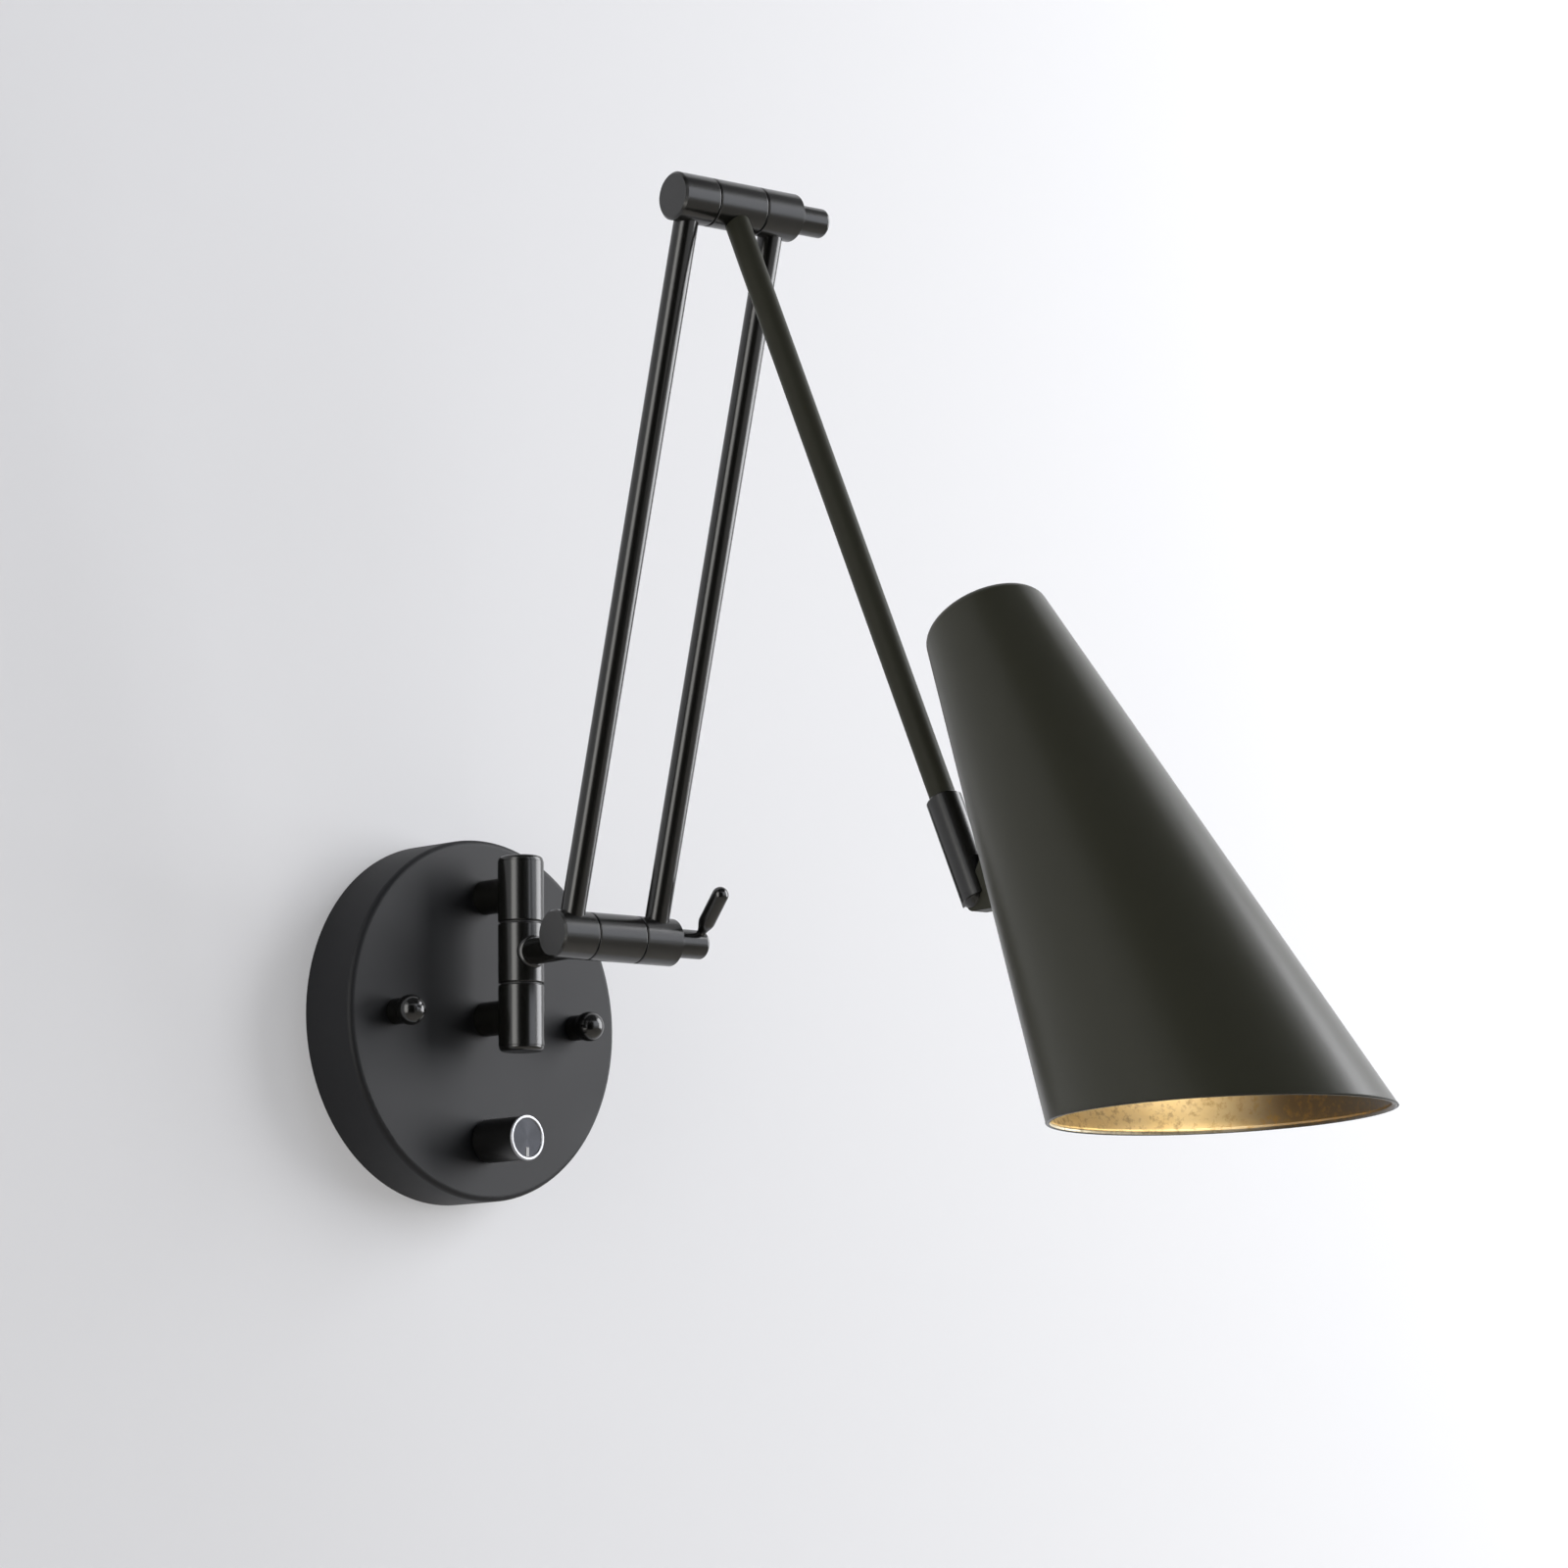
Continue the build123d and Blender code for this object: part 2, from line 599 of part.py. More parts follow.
def buildLampholder():
    innerCone = shadeAxisFrame * shadeCone(shadeWall + seatClearance)
    plateTop = -bracketPlateDrop
    plateFloor = plateTop - bracketThickness
    legTop = (pivotDrop - bracketPlateDrop) / math.cos(math.radians(shadeHalfAngle))
    legBottom = -footLength / 2
    leg = blockY(bracketWidth, legTop - legBottom, -shadeWall - bracketThickness, 0)
    leg = shadeWallFrame * Pos(0, 0, (legTop + legBottom) / 2) * leg
    reach = pivotToAxis
    tongue = Pos(0, reach / 2, (plateTop + plateFloor) / 2) * Box(bracketWidth, reach, bracketThickness)
    plate = barZ(bracketPlateDiameter / 2, plateFloor, plateTop) + tongue
    bracket = (leg + shadeAxisFrame * plate) & innerCone
    for z in footScrewPlaces():
        hole = barY(footScrewDiameter / 2 + seatClearance, -2 * overrun, overrun)
        bracket -= shadeWallFrame * Pos(0, 0, z) * hole
    pieces["lampholder_bracket"] = bracket
    mouth = plateFloor - holderLength
    socketFloor = mouth + holderSocketDepth
    holder = barZ(holderDiameter / 2, mouth, plateFloor)
    holder -= barZ(bulbCapDiameter / 2 + socketClearance, mouth - overrun, socketFloor)
    addPiece("lampholder", shadeAxisFrame, holder)
    capEnd = socketFloor - bulbCapLength
    addPiece("bulb_cap", shadeAxisFrame, barZ(bulbCapDiameter / 2, capEnd, socketFloor))
    globe = Pos(0, 0, capEnd - bulbCentreDrop) * Sphere(bulbDiameter / 2)
    throatRadius = bulbDiameter / 2 * bulbThroatShare
    throatLength = bulbCentreDrop - math.sqrt((bulbDiameter / 2) ** 2 - throatRadius**2)
    throat = Cone(throatRadius, bulbNeckDiameter / 2, throatLength)
    throat = Pos(0, 0, capEnd - throatLength / 2) * throat
    addPiece("bulb_glass", shadeAxisFrame, globe + throat)


buildCanopy()
buildCrossbar()
buildStuds()
buildCapNuts()
buildPosts()
buildHinge()
buildDimmer()
buildTerminals()
buildSpigot()
buildLowerElbow()
buildRods()
buildUpperElbow()
buildUpperArm()
buildShade()
buildTab()
buildLampholder()

os.makedirs("parts", exist_ok=True)
for name, piece in pieces.items():
    export_step(piece, f"parts/{name}.step")
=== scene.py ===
import json
import math

import bmesh
import bpy
import numpy as np
from mathutils import Matrix, Vector


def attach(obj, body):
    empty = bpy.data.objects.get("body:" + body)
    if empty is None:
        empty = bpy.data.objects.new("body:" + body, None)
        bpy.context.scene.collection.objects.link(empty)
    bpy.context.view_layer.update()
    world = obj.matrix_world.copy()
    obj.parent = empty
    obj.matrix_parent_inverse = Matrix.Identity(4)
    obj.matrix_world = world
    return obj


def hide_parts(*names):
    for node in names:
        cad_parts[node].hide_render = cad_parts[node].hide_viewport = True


# Adjustable wall lamp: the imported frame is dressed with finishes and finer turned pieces.
# Sizes in the dictionaries are in millimetres and angles in degrees; the scene itself is in metres.
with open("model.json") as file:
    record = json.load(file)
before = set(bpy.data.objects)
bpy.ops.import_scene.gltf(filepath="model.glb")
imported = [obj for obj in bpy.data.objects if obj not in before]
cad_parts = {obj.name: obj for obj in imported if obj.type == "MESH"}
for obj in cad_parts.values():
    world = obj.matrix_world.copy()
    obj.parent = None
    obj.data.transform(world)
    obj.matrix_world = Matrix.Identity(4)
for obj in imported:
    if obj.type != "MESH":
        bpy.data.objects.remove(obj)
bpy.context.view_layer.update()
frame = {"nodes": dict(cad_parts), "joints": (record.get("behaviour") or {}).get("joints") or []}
joints = {joint["name"]: joint for joint in frame["joints"]}
mm = 0.001

fullTurn = 2 * math.pi
up = np.array([0.0, 0.0, 1.0])
elbowAxis = np.array(joints["upper_elbow"]["axis"])
wallWard = np.cross(up, elbowAxis)


def jointPlace(name):
    return np.array(joints[name]["pos_m"])


# Surfaces


def axes(origin, along, side):
    # Origin and three columns: side, their cross product, and the axis that a profile turns round.
    along = along / np.linalg.norm(along)
    side = side - along * (side @ along)
    side = side / np.linalg.norm(side)
    return np.asarray(origin, float), np.stack([side, np.cross(along, side), along], axis=1)


def placed(points, place):
    # Local points in millimetres, turned by the place's columns and moved to its origin, in metres.
    origin, columns = place
    return points * mm @ columns.T + origin


def profileOf(corners, arcSteps=6, supportShare=0.15):
    # Straight runs joined by arcs. An arc of radius R at a corner of half angle h starts R / tan(h) from
    # the corner, and a support point stands a share of R outside each end, so that flats shade flat.
    points = [np.array(corners[0][:2], float)]
    for before, corner, after in zip(corners, corners[1:], corners[2:]):
        spot = np.array(corner[:2], float)
        radius = corner[2] if len(corner) > 2 else 0
        if not radius:
            points.append(spot)
            continue
        back = np.array(before[:2], float) - spot
        ahead = np.array(after[:2], float) - spot
        back = back / np.linalg.norm(back)
        ahead = ahead / np.linalg.norm(ahead)
        half = math.acos(np.clip(back @ ahead, -1, 1)) / 2
        reach = radius / math.tan(half)
        middle = back + ahead
        centre = spot + middle / np.linalg.norm(middle) * radius / math.sin(half)
        first = (spot + back * reach - centre) / radius
        last = (spot + ahead * reach - centre) / radius
        swing = math.pi - 2 * half
        t = np.linspace(0, 1, arcSteps + 1)[:, None]
        arc = (np.sin((1 - t) * swing) * first + np.sin(t * swing) * last) / math.sin(swing)
        points.append(spot + back * (reach + supportShare * radius))
        points.extend(centre + radius * arc)
        points.append(spot + ahead * (reach + supportShare * radius))
    points.append(np.array(corners[-1][:2], float))
    return np.array(points)


def turned(profile, ringCount):
    # Each (radius, height) of the profile carried once round the axis.
    angle = np.arange(ringCount) * fullTurn / ringCount
    radius = profile[:, 0][:, None]
    height = np.broadcast_to(profile[:, 1][:, None], (len(profile), ringCount))
    return np.stack([radius * np.cos(angle), radius * np.sin(angle), height], axis=2)


def gridFaces(rowCount, ringCount, closedRows=False):
    # Quads between neighbouring rows and columns; columns wrap round, and rows too where asked.
    row = np.arange(rowCount if closedRows else rowCount - 1)[:, None]
    column = np.arange(ringCount)[None, :]
    nextRow = (row + 1) % rowCount
    nextColumn = (column + 1) % ringCount
    corners = (row * ringCount + column, row * ringCount + nextColumn,
               nextRow * ringCount + nextColumn, nextRow * ringCount + column)
    return np.stack(np.broadcast_arrays(*corners), axis=2).reshape(-1, 4)


def mergeDoubles(mesh, distance=0.000001):
    # Corners that fall together, within the distance in metres, become one.
    shape = bmesh.new()
    shape.from_mesh(mesh)
    bmesh.ops.remove_doubles(shape, verts=shape.verts, dist=distance)
    shape.to_mesh(mesh)
    shape.free()


def addSurface(name, points, closedRows=False, flip=False):
    # A grid of points made a smooth mesh. Rows that lie on the axis are merged into poles.
    rowCount, ringCount = points.shape[:2]
    faces = gridFaces(rowCount, ringCount, closedRows)
    if flip:
        faces = faces[:, ::-1]
    mesh = bpy.data.meshes.new(name)
    mesh.from_pydata(points.reshape(-1, 3).tolist(), [], faces.tolist())
    mesh.validate()
    piece = bpy.data.objects.new(name, mesh)
    bpy.context.scene.collection.objects.link(piece)
    mergeDoubles(mesh)
    mesh.polygons.foreach_set("use_smooth", np.ones(len(mesh.polygons), bool))
    mesh.update()
    return piece


def creaseEdges(piece, limit=35):
    # Turned corners sharper than the limit stay crisp under smooth shading.
    piece.data.set_sharp_from_angle(angle=math.radians(limit))


def outward(piece):
    # A closed piece's faces are turned outwards by the sign of its volume.
    mesh = piece.data
    corner = np.empty(len(mesh.vertices) * 3)
    mesh.vertices.foreach_get("co", corner)
    corner = corner.reshape(-1, 3)
    mesh.calc_loop_triangles()
    triangle = np.empty(len(mesh.loop_triangles) * 3, int)
    mesh.loop_triangles.foreach_get("vertices", triangle)
    a, b, c = (corner[triangle.reshape(-1, 3)[:, i]] for i in range(3))
    if np.einsum("ij,ij->i", a, np.cross(b, c)).sum() < 0:
        mesh.flip_normals()
    return piece


def dress(piece, body, finishes, replaced=()):
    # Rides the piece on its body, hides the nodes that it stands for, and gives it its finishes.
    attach(piece, body)
    if replaced:
        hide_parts(*replaced)
    for finish in finishes:
        piece.data.materials.append(finish)


# Finishes


def linear(hexText):
    # An sRGB hex colour made linear.
    part = np.array([int(hexText[i:i + 2], 16) for i in (1, 3, 5)]) / 255
    part = np.where(part <= 0.04045, part / 12.92, ((part + 0.055) / 1.055) ** 2.4)
    return (*part, 1.0)


def addNode(tree, kind, settings=None, links=None):
    # Adds a node, sets its properties or sockets by name and links sockets from other nodes.
    node = tree.nodes.new(kind)
    for key, value in (settings or {}).items():
        if isinstance(key, str) and hasattr(node, key):
            setattr(node, key, value)
        else:
            node.inputs[key].default_value = value
    for key, source in (links or {}).items():
        tree.links.new(source, node.inputs[key])
    return node


def newFinish(name):
    # A material with its shader and the object's own coordinates, in metres.
    material = bpy.data.materials.new(name)
    material.use_nodes = True
    tree = material.node_tree
    tree.nodes.clear()
    shader = addNode(tree, "ShaderNodeBsdfPrincipled")
    addNode(tree, "ShaderNodeOutputMaterial", links={"Surface": shader.outputs["BSDF"]})
    place = addNode(tree, "ShaderNodeTexCoord").outputs["Object"]
    return material, tree, shader, place


def giveTexture(tree, shader, look, gloss, relief=None):
    # One pattern moves the roughness between the look's two values. The other, where there is one, stands
    # out of the surface by up to the look's relief.
    rough = addNode(tree, "ShaderNodeMapRange",
                    {"To Min": look["roughness"][0], "To Max": look["roughness"][1]},
                    {"Value": gloss.outputs["Fac"]})
    tree.links.new(rough.outputs["Result"], shader.inputs["Roughness"])
    if relief:
        bump = addNode(tree, "ShaderNodeBump", {"Distance": look["relief"] * mm},
                       {"Height": relief.outputs["Fac"]})
        tree.links.new(bump.outputs["Normal"], shader.inputs["Normal"])


def paintedSteel(name, look):
    # Sprayed and baked paint: the wet film draws into a shallow orange peel before it sets, which breaks
    # up highlights a little, and its thickness varies slowly, which varies the gloss. A look with a skin has
    # set smoother on top than in its body, so edges seen at a slant mirror the room.
    material, tree, shader, place = newFinish(name)
    shader.inputs["Base Color"].default_value = linear(look["colour"])
    shader.inputs["IOR"].default_value = look["ior"]
    if "skin" in look:
        shader.inputs["Coat Weight"].default_value = look["skin"]
        shader.inputs["Coat Roughness"].default_value = look["skinRoughness"]
    patch = addNode(tree, "ShaderNodeTexNoise", {"Scale": 1 / (look["patchSize"] * mm)}, {"Vector": place})
    peel = addNode(tree, "ShaderNodeTexNoise", {"Scale": 1 / (look["peelSize"] * mm), "Detail": 1.0},
                   {"Vector": place})
    giveTexture(tree, shader, look, patch, peel)
    return material


def bareMetal(name, look):
    # Bare or plated metal: its tone and gloss vary together with the fine marks of its last working. A look
    # with a stretch was turned on the lathe: its rings, too fine to show, stretch each highlight along the
    # radius, so that lights on either side show as two opposite fans.
    material, tree, shader, place = newFinish(name)
    shader.inputs["Metallic"].default_value = 1.0
    grain = addNode(tree, "ShaderNodeTexNoise", {"Scale": 1 / (look["grainSize"] * mm), "Detail": 4.0},
                    {"Vector": place})
    tint = addNode(tree, "ShaderNodeMix", {"data_type": "RGBA", 6: linear(look["colours"][0]),
                                           7: linear(look["colours"][1])}, {0: grain.outputs["Fac"]})
    tree.links.new(tint.outputs[2], shader.inputs["Base Color"])
    giveTexture(tree, shader, look, grain)
    if "stretch" in look:
        shader.inputs["Anisotropic"].default_value = look["stretch"]
        radius = addNode(tree, "ShaderNodeVectorMath",
                         {"operation": "SUBTRACT", 1: (0, 0, look["axisHeight"] * mm)}, {0: place})
        tree.links.new(radius.outputs["Vector"], shader.inputs["Tangent"])
    return material


def mouldedPlastic(name, look):
    # Moulded plastic takes the fine spark-eroded texture of its mould, which dulls it evenly.
    material, tree, shader, place = newFinish(name)
    shader.inputs["Base Color"].default_value = linear(look["colour"])
    shader.inputs["IOR"].default_value = look["ior"]
    spark = addNode(tree, "ShaderNodeTexNoise", {"Scale": 1 / (look["sparkSize"] * mm), "Detail": 3.0},
                    {"Vector": place})
    giveTexture(tree, shader, look, spark, spark)
    return material


def antiqueGold(name, look):
    # Metal leaf lacquer rubbed on inside the shade: broad cloudy tones, small dark specks where the dark
    # ground shows through, and an uneven film that blurs what it mirrors. Toward one side its tone is painted
    # darker and browner: painted shade, where the inside of the shade gets less light.
    material, tree, shader, place = newFinish(name)
    shader.inputs["Metallic"].default_value = 1.0
    cloud = addNode(tree, "ShaderNodeTexNoise", {"Scale": 1 / (look["cloudSize"] * mm), "Detail": 3.0},
                    {"Vector": place})
    speck = addNode(tree, "ShaderNodeTexNoise", {"Scale": 1 / (look["speckSize"] * mm), "Detail": 4.0,
                                                 "Roughness": 0.65}, {"Vector": place})
    broad = addNode(tree, "ShaderNodeMix", {"data_type": "RGBA", 6: linear(look["light"]),
                                            7: linear(look["middle"])}, {0: cloud.outputs["Fac"]})
    # Painted shade: across the shade the gold turns to the darker brown toward one side.
    across = addNode(tree, "ShaderNodeVectorMath", {"operation": "DOT_PRODUCT", 1: look["paintedShadeToward"]},
                     {0: place})
    paintedShade = addNode(tree, "ShaderNodeMapRange",
                   {"interpolation_type": "SMOOTHSTEP", "From Min": look["paintedShadeFrom"] * mm,
                    "From Max": look["paintedShadeTo"] * mm}, {"Value": across.outputs["Value"]})
    shadedGold = addNode(tree, "ShaderNodeMix", {"data_type": "RGBA", 7: linear(look["paintedShade"])},
                     {0: paintedShade.outputs["Result"], 6: broad.outputs[2]})
    thin = addNode(tree, "ShaderNodeMapRange", {"From Min": look["thinFrom"], "From Max": look["thinTo"]},
                   {"Value": speck.outputs["Fac"]})
    tone = addNode(tree, "ShaderNodeMix", {"data_type": "RGBA", 7: linear(look["dark"])},
                   {0: thin.outputs["Result"], 6: shadedGold.outputs[2]})
    tree.links.new(tone.outputs[2], shader.inputs["Base Color"])
    giveTexture(tree, shader, look, speck, speck)
    return material


def opalGlass(name, look):
    # Opal glass: white in its body, with a clear fire-polished skin that mirrors lamps softly. The lamp is
    # dimmed low, so the glass only glows.
    material, tree, shader, place = newFinish(name)
    shader.inputs["Base Color"].default_value = linear(look["colour"])
    shader.inputs["IOR"].default_value = look["ior"]
    shader.inputs["Coat Weight"].default_value = look["skin"]
    shader.inputs["Emission Color"].default_value = linear(look["glow"])
    shader.inputs["Emission Strength"].default_value = look["glowLevel"]
    wave = addNode(tree, "ShaderNodeTexNoise", {"Scale": 1 / (look["waveSize"] * mm)}, {"Vector": place})
    giveTexture(tree, shader, look, wave)
    return material


canopyCoat = paintedSteel("satinBlackPowderCoat", {
    "colour": "#0b0c10", "ior": 1.4, "roughness": (0.54, 0.6),
    "patchSize": 25, "peelSize": 1.4, "relief": 0.006})
armEnamel = paintedSteel("semiGlossBlackEnamel", {
    "colour": "#0f0f0d", "ior": 1.6, "roughness": (0.2, 0.26),
    "patchSize": 18, "peelSize": 1.1, "relief": 0.003})
hardwareEnamel = paintedSteel("glossBlackHardwareEnamel", {
    "colour": "#0e0e0d", "ior": 1.6, "roughness": (0.16, 0.21),
    "patchSize": 12, "peelSize": 0.9, "relief": 0.002})
shadeCoat = paintedSteel("satinBlackShadeCoat", {  # its matting powder takes most of the mirror, so a low IOR
    "colour": "#313127", "ior": 1.2, "roughness": (0.36, 0.42), "skin": 0.42, "skinRoughness": 0.27,
    "patchSize": 40, "peelSize": 1.6, "relief": 0.004})
armCoat = paintedSteel("satinBlackArmCoat", {  # the shade's kind of paint, a little duller
    "colour": "#313129", "ior": 1.2, "roughness": (0.4, 0.46),
    "patchSize": 30, "peelSize": 1.4, "relief": 0.004})
knobCoat = paintedSteel("satinBlackKnobCoat", {
    "colour": "#0e0e0e", "ior": 1.5, "roughness": (0.3, 0.36),
    "patchSize": 8, "peelSize": 0.8, "relief": 0.002})
# Inside of the shade: paintedShade is the brown of painted shade, laid across it toward one side.
shadeGold = antiqueGold("rubbedAntiqueGoldWithPaintedShade", {
    "light": "#fff8e4", "middle": "#f2e0b0", "paintedShade": "#54493a", "dark": "#7a6238",
    "cloudSize": 11, "speckSize": 2.2, "paintedShadeToward": (0.685, -0.728, 0), "paintedShadeFrom": 216, "paintedShadeTo": 258,
    "thinFrom": 0.5, "thinTo": 0.86, "roughness": (0.34, 0.5), "relief": 0.03})
spunFace = bareMetal("spunBlackAluminium", {
    "colours": ("#38393c", "#2b2c2f"), "roughness": (0.3, 0.36), "grainSize": 0.5,
    "axisHeight": jointPlace("dimmer_turn")[2] / mm, "stretch": 0.9})
satinSteel = bareMetal("satinStainlessSteel", {
    "colours": ("#a6a7a9", "#8e8f92"), "roughness": (0.36, 0.44), "grainSize": 0.6})
zincPlate = bareMetal("blueZincPlatedSteel", {
    "colours": ("#c6c8ca", "#a9abad"), "roughness": (0.28, 0.4), "grainSize": 2.2})
turnedBrass = bareMetal("turnedBrass", {
    "colours": ("#d9b566", "#bd974c"), "roughness": (0.22, 0.34), "grainSize": 1.6})
rolledAluminium = bareMetal("rolledAluminium", {
    "colours": ("#d8d8d8", "#c2c3c4"), "roughness": (0.26, 0.36), "grainSize": 1.0})
blackNylon = mouldedPlastic("mouldedBlackNylon", {
    "colour": "#1a1a1b", "ior": 1.53, "roughness": (0.45, 0.55), "sparkSize": 0.4, "relief": 0.006})
blackThermoplastic = mouldedPlastic("mouldedBlackThermoplastic", {
    "colour": "#1d1d1e", "ior": 1.55, "roughness": (0.38, 0.46), "sparkSize": 0.5, "relief": 0.008})
whiteInfill = mouldedPlastic("whiteEpoxyInfill", {
    "colour": "#b4b4b3", "ior": 1.5, "roughness": (0.5, 0.6), "sparkSize": 0.3, "relief": 0.002})
ivoryPolyamide = mouldedPlastic("mouldedIvoryPolyamide", {
    "colour": "#dcd7c4", "ior": 1.53, "roughness": (0.4, 0.5), "sparkSize": 0.6, "relief": 0.01})
opalWhite = opalGlass("firePolishedOpalGlass", {
    "colour": "#f1efe8", "ior": 1.5, "skin": 0.4, "roughness": (0.18, 0.24), "waveSize": 9,
    "glow": "#fff3e2", "glowLevel": 6.0})

# The frame's nodes that show as they are. The others are replaced by the pieces below.
nodeFinishes = [
    (canopyCoat, ["canopy"]),
    (armEnamel, ["hinge_posts", "upper_knuckle", "lower_knuckle", "middle_knuckle", "spigot",
                 "lower_middle_hub", "lower_plain_hub", "lower_clamp_hub", "left_rod", "right_rod",
                 "upper_plain_hub", "upper_clamp_hub", "upper_middle_hub", "arm_sleeve", "shade_pivot_pin"]),
    (armCoat, ["upper_arm", "shade_tab"]),
    (hardwareEnamel, ["cap_nuts", "upper_nose_nut", "clamp_nut"]),
    (whiteInfill, ["knob_pointer"]),
    (zincPlate, ["wall_crossbar", "canopy_studs", "stud_nuts", "post_washers", "post_nuts", "hinge_pin",
                 "dimmer_nut", "dimmer_shaft", "lower_elbow_bolt", "upper_elbow_bolt"]),
    (blackNylon, ["hinge_washers", "lower_elbow_washers", "upper_elbow_washers"]),
    (blackThermoplastic, ["dimmer_body"]),
    (ivoryPolyamide, ["terminal_block"]),
    (turnedBrass, ["earth_screw", "tab_screws", "lampholder_bracket"]),
    (rolledAluminium, ["bulb_cap"]),
]
for finish, names in nodeFinishes:
    for name in names:
        materials = frame["nodes"][name].data.materials
        materials.clear()
        materials.append(finish)
print("finishes made and given to the nodes that show")

# Shade: a spun cone with a closed top and a slanted mouth, black outside and gold inside.
shade = {
    "lean": 30.9, "pivotToAxis": 46.19, "pivotDrop": 68.4, "topRadius": 18.75, "halfAngle": 8.35,
    "length": 178.7, "wall": 1.0, "edgeRadius": 3.0, "rimSlope": 29.4, "hemLength": 1.8, "hem": 0.4,
    "profileDepth": 30.0, "rings": 256, "wallSteps": 60, "edgeSteps": 10, "hemSteps": 12, "lipSteps": 8,
}


def shadePlace():
    # The middle of the shade's top, worked out from the pivot, and its axis, whose top leans to the wall.
    lean = math.radians(shade["lean"])
    axis = up * math.cos(lean) + wallWard * math.sin(lean)
    toWall = wallWard * math.cos(lean) - up * math.sin(lean)
    origin = jointPlace("shade_tilt") - toWall * shade["pivotToAxis"] * mm + axis * shade["pivotDrop"] * mm
    return axes(origin, axis, elbowAxis)


def buildShade():
    # A profile from the middle of the top, over the rounded edge and down the cone. On each generator the
    # depth runs to where it meets the rim's plane, z = -length + y * tan(slope); the wall's lip is a half
    # round, and the inside goes back up in the same way, one wall further in. Just inside the lip the sheet
    # is beaded: hem * sin^2(pi * t) further in along the hem's length.
    slant = math.tan(math.radians(shade["halfAngle"]))
    slope = math.tan(math.radians(shade["rimSlope"]))
    wall = shade["wall"]
    inset = wall / math.cos(math.radians(shade["halfAngle"]))
    angle = np.arange(shade["rings"]) * fullTurn / shade["rings"]
    sine = np.sin(angle)

    def side(topRadius, cornerRadius, topHeight, hem):
        depth = shade["profileDepth"]  # the profile is worked out to here, and stretched to the rim below it
        corner = profileOf([(0, topHeight), (topRadius - topHeight * slant, topHeight, cornerRadius),
                            (topRadius + depth * slant, -depth)], arcSteps=shade["edgeSteps"])
        head = np.repeat(corner[:-1, None, :], shade["rings"], axis=1)
        start = -corner[-2, 1]
        rim = (shade["length"] - topRadius * sine * slope) / (1 + slant * sine * slope)
        share = np.linspace(0, 1, shade["wallSteps"])[1:, None]
        down = start + (rim - shade["hemLength"] - start) * share
        along = np.linspace(0, 1, shade["hemSteps"] + 1)[1:, None]
        down = np.concatenate([down, rim - shade["hemLength"] * (1 - along)])
        bead = np.concatenate([np.zeros_like(share), hem * np.sin(math.pi * along) ** 2])
        return np.concatenate([head, np.stack([topRadius + down * slant - bead, -down], axis=2)], axis=0)

    outer = side(shade["topRadius"], shade["edgeRadius"], 0, 0)
    inner = side(shade["topRadius"] - inset, shade["edgeRadius"] / 2, -wall, shade["hem"])
    middle = (outer[-1] + inner[-1]) / 2
    across = (outer[-1] - inner[-1]) / 2
    below = np.stack([across[:, 1], -across[:, 0]], axis=1)
    turn = np.linspace(0, math.pi, shade["lipSteps"] + 1)[1:-1, None, None]
    lip = middle + across * np.cos(turn) + below * np.sin(turn)
    lift = np.linalg.norm(across, axis=1)
    outer[-1, :, 1] += lift
    inner[-1, :, 1] += lift
    lip[..., 1] += lift
    rows = np.concatenate([outer, lip, inner[::-1]], axis=0)
    radius, height = rows[..., 0], rows[..., 1]
    points = np.stack([radius * np.cos(angle), radius * sine, height], axis=2)
    piece = addSurface("shadeCone", placed(points, shadePlace()), flip=True)
    faceRow = np.arange(len(rows) - 1)
    goldFrom = len(outer) + len(lip) + 1
    perRow = np.repeat((faceRow >= goldFrom).astype(np.int32), shade["rings"])
    piece.data.polygons.foreach_set("material_index", perRow)
    dress(piece, "shade", [shadeCoat, shadeGold], ["shade_shell"])


buildShade()
print("shade made")

# Hinge caps: short turned buttons with a well rounded edge, pressed into both ends of the hinge.
hingeCaps = {"radius": 7.4, "thickness": 1.9, "edgeRadius": 1.5, "top": 52.85, "bottom": -11.85,
             "rings": 96, "edgeSteps": 8}


def buildHingeCaps():
    # One profile per cap, from its middle over the rounded edge and back to the middle of its flat side.
    hinge = jointPlace("wall_swivel")
    radius, edge, thickness = hingeCaps["radius"], hingeCaps["edgeRadius"], hingeCaps["thickness"]
    profile = profileOf([(0, 0), (radius, 0, edge), (radius, -thickness), (0, -thickness)],
                        arcSteps=hingeCaps["edgeSteps"])
    ends = {"upperHingeCap": (hingeCaps["top"], up), "lowerHingeCap": (hingeCaps["bottom"], -up)}
    made = []
    for name, (height, along) in ends.items():
        origin = np.array([hinge[0], hinge[1], height * mm])
        made.append(outward(addSurface(name, placed(turned(profile, hingeCaps["rings"]),
                                                    axes(origin, along, np.array([1.0, 0, 0]))))))
    dress(made[0], "base", [armEnamel], ["hinge_caps"])
    dress(made[1], "base", [armEnamel])


# Spigot's root: a narrow rounded shoulder that follows the barrel all round the spigot.
spigotRoot = {"barrelRadius": 7.6, "spigotRadius": 4.4, "width": 1.0, "depth": 0.4, "rings": 96,
              "arcSteps": 8}


